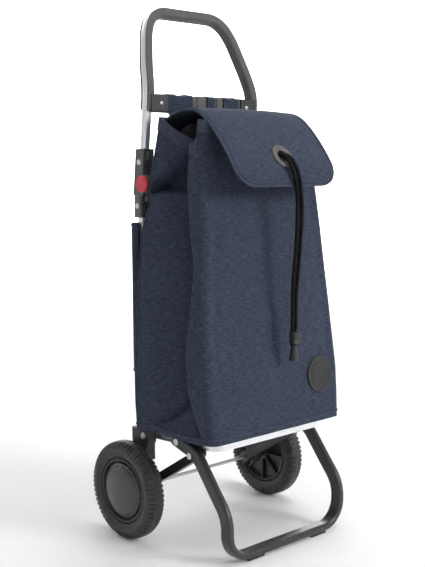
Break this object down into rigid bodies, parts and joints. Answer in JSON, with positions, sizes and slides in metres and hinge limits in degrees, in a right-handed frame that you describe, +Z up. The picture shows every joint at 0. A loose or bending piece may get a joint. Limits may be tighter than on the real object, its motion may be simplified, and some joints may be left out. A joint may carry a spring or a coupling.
{
  "type": "folding shopping trolley",
  "caption": "Two-wheel shopping trolley with a tall cloth bag, a padded flap and a drawcord, on a folding frame with a front stand.",
  "frame": {"origin": "on the floor, under the middle of the trolley's outer box", "axes": "+Z up, -Y the front where the stand is, X across, along the axle"},
  "size_m": [0.426, 0.3468, 1.0227],
  "materials": {
    "tyre": "moulded rubber, satin",
    "hub": "moulded plastic",
    "hub_cap": "polished plastic",
    "aluminium": "brushed, anodised",
    "steel": "zinc plated",
    "grip": "soft matt grip",
    "casing": "fine moulded grain",
    "button": "red, smooth",
    "black_metal": "powder coat",
    "black_plastic": "moulded plastic",
    "bag_cloth": "melange polyester weave",
    "base_board": "board",
    "eyelet": "moulded plastic",
    "badge": "moulded plastic",
    "cord": "braided cord"
  },
  "bodies": {
    "frame": {"axle": "steel", "axle_spacers": "black_plastic", "axle_clips": "steel", "mast_left": "aluminium", "mast_right": "aluminium", "mast_foot_left": "black_plastic", "mast_foot_right": "black_plastic", "tray_pins": "steel", "fold_pins": "steel", "lower_casing_left": "casing", "lower_casing_right": "casing", "lower_rivets": "steel", "bag_body": "bag_cloth", "rear_sleeve": "bag_cloth", "badge": "badge"},
    "handle": {"handle_tube": "aluminium", "handle_grip": "grip", "crossbar": "casing", "bar_clamp_left": "casing", "bar_clamp_right": "casing", "upper_casing_left": "casing", "upper_casing_right": "casing", "upper_rivets": "steel", "hanging_loops": "bag_cloth"},
    "tray": {"tray_rim": "aluminium", "base_board": "base_board", "stand_pins": "steel"},
    "stand": {"stand_loop": "black_metal", "stand_pads": "black_plastic", "strut_rivets": "steel"},
    "struts": {"strut_left": "black_metal", "strut_right": "black_metal"},
    "wheel_left": {"tyre_left": "tyre", "hub_left": "hub", "bush_left": "black_plastic", "hub_cap_left": "hub_cap"},
    "wheel_right": {"tyre_right": "tyre", "hub_right": "hub", "bush_right": "black_plastic", "hub_cap_right": "hub_cap"},
    "button_left": {"button_left": "button"},
    "button_right": {"button_right": "button"},
    "flap": {"flap": "bag_cloth", "eyelet": "eyelet"},
    "cords": {"cord_left": "cord", "cord_right": "cord", "cord_end": "black_plastic"},
    "cord_lock": {"cord_lock": "black_plastic"},
    "plunger": {"lock_plunger": "black_plastic"}
  },
  "joints": [
    {"name": "base_fold", "type": "hinge", "parent": "frame", "child": "tray", "pos_m": [0, 0.0625, 0.198], "axis": [-1, 0, 0], "range_deg": [0, 65], "deforming": ["bag_body"]},
    {"name": "stand_fold", "type": "hinge", "parent": "tray", "child": "stand", "pos_m": [0, -0.0275, 0.20399], "axis": [1, 0, 0], "range_deg": [0, 94.5]},
    {"name": "strut_fold", "type": "hinge", "parent": "frame", "child": "struts", "pos_m": [0, 0.0775, 0.095], "axis": [-1, 0, 0], "range_deg": [0, 33]},
    {"name": "handle_fold", "type": "hinge", "parent": "frame", "child": "handle", "pos_m": [0, 0.07728, 0.682], "axis": [1, 0, 0], "range_deg": [0, 170.1], "deforming": ["hanging_loops"]},
    {"name": "wheel_left_spin", "type": "hinge", "parent": "frame", "child": "wheel_left", "pos_m": [0, 0.0775, 0.095], "axis": [1, 0, 0], "continuous": true},
    {"name": "wheel_right_spin", "type": "hinge", "parent": "frame", "child": "wheel_right", "pos_m": [0, 0.0775, 0.095], "axis": [1, 0, 0], "continuous": true},
    {"name": "button_left_press", "type": "slide", "parent": "handle", "child": "button_left", "axis": [1, 0, 0], "range_m": [0, 0.0035], "stiffness_N_per_m": 600, "springref_m": -0.003},
    {"name": "button_right_press", "type": "slide", "parent": "handle", "child": "button_right", "axis": [-1, 0, 0], "range_m": [0, 0.0035], "stiffness_N_per_m": 600, "springref_m": -0.003},
    {"name": "flap_lift", "type": "hinge", "parent": "frame", "child": "flap", "pos_m": [0, 0.03978, 0.803], "axis": [-1, 0, 0], "range_deg": [0, 90], "deforming": ["flap"]},
    {"name": "cord_hang", "type": "hinge", "parent": "flap", "child": "cords", "pos_m": [0, -0.141, 0.736], "axis": [1, 0, 0], "range_deg": [0, 90], "deforming": ["cord_left", "cord_right"]},
    {"name": "lock_slide", "type": "slide", "parent": "cords", "child": "cord_lock", "axis": [0, 0, 1], "range_m": [0, 0.02]},
    {"name": "plunger_press", "type": "slide", "parent": "cord_lock", "child": "plunger", "axis": [0, 0, -1], "range_m": [0, 0.004], "stiffness_N_per_m": 300, "springref_m": -0.003}
  ],
  "couplings": [
    {"joint": "stand_fold", "follows": "base_fold", "ratio": 1.4477},
    {"joint": "strut_fold", "follows": "base_fold", "ratio": 0.5046},
    {"joint": "handle_fold", "follows": "base_fold", "ratio": 2.6154},
    {"joint": "cord_hang", "follows": "flap_lift", "ratio": 1}
  ]
}
